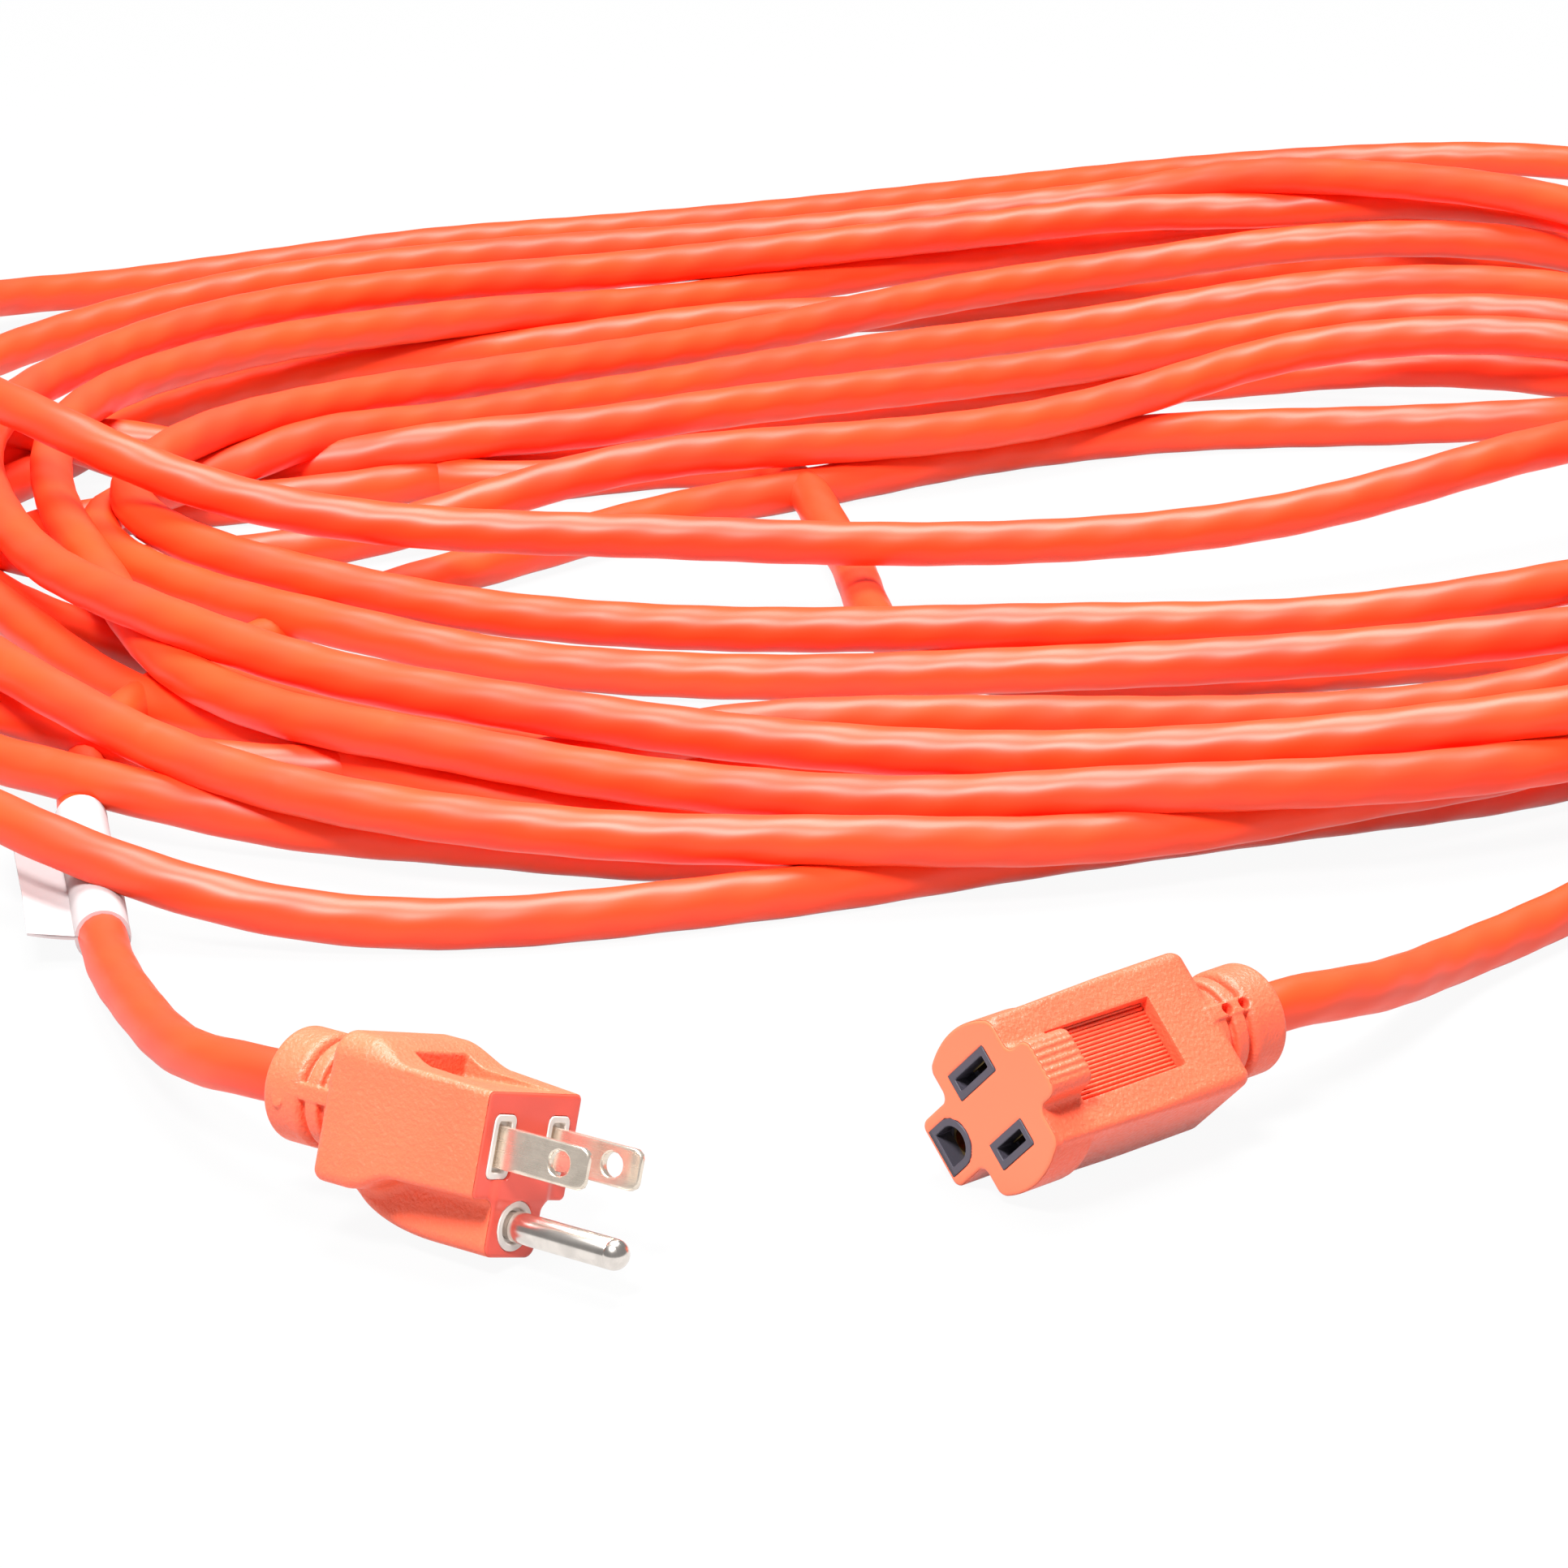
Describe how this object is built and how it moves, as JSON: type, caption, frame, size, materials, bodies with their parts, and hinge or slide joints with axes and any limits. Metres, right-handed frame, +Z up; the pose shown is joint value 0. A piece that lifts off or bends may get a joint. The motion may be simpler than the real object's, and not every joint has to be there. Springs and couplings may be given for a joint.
{
  "type": "outdoor extension cord",
  "caption": "Coiled three-conductor outdoor extension cord with a moulded grounded plug and a single-outlet connector.",
  "frame": {"origin": "on the floor, under the middle of the box round the plug and the connector body as they lie, without the cord", "axes": "+Z up, +X to the right along the line from plug to connector, +Y away from the viewer, towards the coil"},
  "size_m": [0.5548, 0.7142, 0.0317],
  "materials": {
    "jacket": "smooth vinyl, semi-gloss",
    "overmould": "fine sand texture",
    "cream_plastic": "satin",
    "dark_plastic": "satin",
    "plated_metal": "polished, plated",
    "contact_brass": "rolled strip",
    "copper": "stranded copper",
    "black_insulation": "smooth",
    "white_insulation": "smooth",
    "green_insulation": "smooth",
    "paper": "bare label paper"
  },
  "bodies": {
    "root": {"plug_body": "overmould", "plug_blade_holder": "cream_plastic", "line_blade": "plated_metal", "neutral_blade": "plated_metal", "ground_pin": "plated_metal", "plug_line_wire": "black_insulation", "plug_neutral_wire": "white_insulation", "plug_ground_wire": "green_insulation", "plug_line_core": "copper", "plug_neutral_core": "copper", "plug_ground_core": "copper", "connector_body": "overmould", "contact_carrier": "dark_plastic", "line_contact": "contact_brass", "neutral_contact": "contact_brass", "ground_contact": "contact_brass", "connector_line_wire": "black_insulation", "connector_neutral_wire": "white_insulation", "connector_ground_wire": "green_insulation", "connector_line_core": "copper", "connector_neutral_core": "copper", "connector_ground_core": "copper", "plug_lead": "jacket", "cord_coil": "jacket", "connector_lead": "jacket", "cord_label": "paper"}
  },
  "joints": []
}
